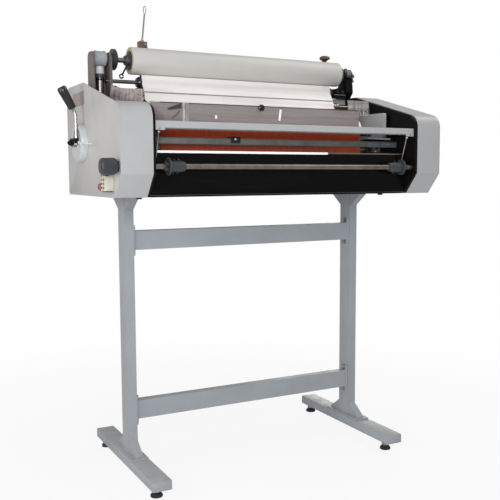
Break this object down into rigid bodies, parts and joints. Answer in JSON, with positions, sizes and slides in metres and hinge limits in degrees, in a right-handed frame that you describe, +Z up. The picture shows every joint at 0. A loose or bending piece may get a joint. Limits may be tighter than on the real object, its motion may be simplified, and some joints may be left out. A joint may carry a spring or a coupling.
{
  "type": "cold roll laminator",
  "caption": "Cold roll laminator on a T-leg stand, with silicone nip rollers, a pressure lever, film supply and take-up shafts and a clear guard.",
  "frame": {"origin": "on the floor, under the centre of the outer box", "axes": "+X along the rollers to the right of a person who faces the feed side, +Y from the feed side to the exit side, +Z up"},
  "size_m": [1.1544, 0.6225, 1.4835],
  "materials": {
    "stand_grey": "blue-grey powder coat",
    "rubber": "black moulded rubber",
    "black_plate": "black paint",
    "gloss_black": "glossy black",
    "cover_grey": "light grey paint, fine texture",
    "steel": "ground steel",
    "silicone": "orange-red silicone rubber",
    "aluminium": "satin aluminium",
    "chrome": "chrome plated",
    "black_plastic": "black moulded plastic",
    "dark_plastic": "dark grey moulded plastic",
    "film": "translucent laminating film on its liner",
    "clear": "clear acrylic",
    "brass": "dull brass",
    "cream_plastic": "cream nylon",
    "red_plastic": "red moulded plastic"
  },
  "bodies": {
    "frame": {"foot_beam_left": "stand_grey", "foot_beam_right": "stand_grey", "leveller_front_left": "rubber", "leveller_front_right": "rubber", "leveller_rear_left": "rubber", "leveller_rear_right": "rubber", "post_left": "stand_grey", "post_right": "stand_grey", "upper_cross_beam": "stand_grey", "lower_cross_beam": "stand_grey", "base_plate": "black_plate", "side_plate_left": "black_plate", "side_plate_right": "black_plate", "cover_left": "cover_grey", "cover_right": "cover_grey", "rear_panel": "cover_grey", "front_panel": "gloss_black", "guard_beam": "cover_grey", "guard_stay_left": "steel", "guard_stay_right": "steel", "feed_bar": "aluminium", "lower_bearing_left": "steel", "lower_bearing_right": "steel", "pressure_dial": "cover_grey", "gear_motor": "dark_plastic", "supply_bracket_left": "cover_grey", "supply_bracket_right": "black_plate", "takeup_fork": "black_plate", "wire_loop": "brass", "power_inlet": "cream_plastic", "film_web": "film"},
    "roller_arms": {"roller_arm_left": "cover_grey", "roller_arm_right": "cover_grey", "arm_pivot_shaft": "steel"},
    "upper_roller": {"upper_roller_shaft": "steel", "upper_roller_sleeve": "silicone"},
    "lower_roller": {"lower_roller_shaft": "steel", "lower_roller_sleeve": "silicone", "roller_gear": "steel"},
    "pinion": {"motor_pinion": "steel"},
    "pressure_handle": {"cam_shaft": "steel", "pressure_lever": "chrome", "lever_grip": "black_plastic"},
    "supply_roll": {"supply_shaft": "steel", "brake_disc": "black_plastic", "brake_drum": "aluminium", "core_chuck_left": "dark_plastic", "core_chuck_right": "dark_plastic", "film_roll": "film"},
    "supply_brake": {"brake_screw": "cream_plastic"},
    "idler_under_roll": {"roll_idler": "aluminium"},
    "web_guide": {"guide_bar": "aluminium"},
    "front_roll_shaft": {"front_shaft": "steel"},
    "front_chuck_l": {"front_chuck_left": "dark_plastic"},
    "front_chuck_r": {"front_chuck_right": "dark_plastic"},
    "front_tension": {"tension_knob": "dark_plastic"},
    "takeup": {"takeup_shaft": "steel"},
    "guard": {"clear_guard": "clear"},
    "side_guide": {"edge_guide": "black_plastic"},
    "start": {"start_button": "red_plastic"}
  },
  "joints": [
    {"name": "pressure_lever_turn", "type": "hinge", "parent": "frame", "child": "pressure_handle", "pos_m": [-0.523, 0.055, 1.037], "axis": [-1, 0, 0], "range_deg": [0, 90]},
    {"name": "arm_lift", "type": "hinge", "parent": "frame", "child": "roller_arms", "pos_m": [0.037, 0.115, 1.096], "axis": [-1, 0, 0], "range_deg": [0, 3.5]},
    {"name": "lower_roller_turn", "type": "hinge", "parent": "frame", "child": "lower_roller", "pos_m": [0.037, -0.09, 1.0197], "axis": [1, 0, 0], "continuous": true},
    {"name": "upper_roller_turn", "type": "hinge", "parent": "roller_arms", "child": "upper_roller", "pos_m": [0.037, -0.09, 1.0803], "axis": [1, 0, 0], "continuous": true},
    {"name": "pinion_turn", "type": "hinge", "parent": "frame", "child": "pinion", "pos_m": [0.492, -0.04935, 0.94929], "axis": [1, 0, 0], "continuous": true},
    {"name": "supply_roll_turn", "type": "hinge", "parent": "frame", "child": "supply_roll", "pos_m": [0.037, 0.072, 1.293], "axis": [1, 0, 0], "continuous": true},
    {"name": "supply_brake_turn", "type": "hinge", "parent": "frame", "child": "supply_brake", "pos_m": [-0.44, 0.072, 1.24], "axis": [0, 0, 1], "range_deg": [-180, 180]},
    {"name": "roll_idler_turn", "type": "hinge", "parent": "frame", "child": "idler_under_roll", "pos_m": [0.037, 0.072, 1.228], "axis": [1, 0, 0], "continuous": true},
    {"name": "guide_bar_turn", "type": "hinge", "parent": "frame", "child": "web_guide", "pos_m": [0.037, 0.049, 1.178], "axis": [1, 0, 0], "continuous": true},
    {"name": "front_shaft_turn", "type": "hinge", "parent": "frame", "child": "front_roll_shaft", "pos_m": [0.037, -0.285, 0.964], "axis": [1, 0, 0], "continuous": true},
    {"name": "front_chuck_left_slide", "type": "slide", "parent": "front_roll_shaft", "child": "front_chuck_l", "axis": [1, 0, 0], "range_m": [0, 0.3]},
    {"name": "front_chuck_right_slide", "type": "slide", "parent": "front_roll_shaft", "child": "front_chuck_r", "axis": [-1, 0, 0], "range_m": [0, 0.3]},
    {"name": "tension_knob_turn", "type": "hinge", "parent": "front_roll_shaft", "child": "front_tension", "pos_m": [-0.523, -0.285, 0.964], "axis": [1, 0, 0], "range_deg": [-180, 180]},
    {"name": "takeup_turn", "type": "hinge", "parent": "frame", "child": "takeup", "pos_m": [0.037, 0.162, 1.338], "axis": [1, 0, 0], "continuous": true},
    {"name": "guard_tilt", "type": "hinge", "parent": "frame", "child": "guard", "pos_m": [0.037, -0.166, 1.093], "axis": [1, 0, 0], "range_deg": [0, 50]},
    {"name": "edge_guide_slide", "type": "slide", "parent": "frame", "child": "side_guide", "axis": [1, 0, 0], "range_m": [-0.25, 0.455]},
    {"name": "start_button_push", "type": "slide", "parent": "frame", "child": "start", "axis": [1, 0, 0], "range_m": [0, 0.004], "stiffness_N_per_m": 300}
  ],
  "couplings": [
    {"joint": "arm_lift", "follows": "pressure_lever_turn", "ratio": 0.038889},
    {"joint": "upper_roller_turn", "follows": "lower_roller_turn", "ratio": -1},
    {"joint": "pinion_turn", "follows": "lower_roller_turn", "ratio": -2.8571}
  ]
}
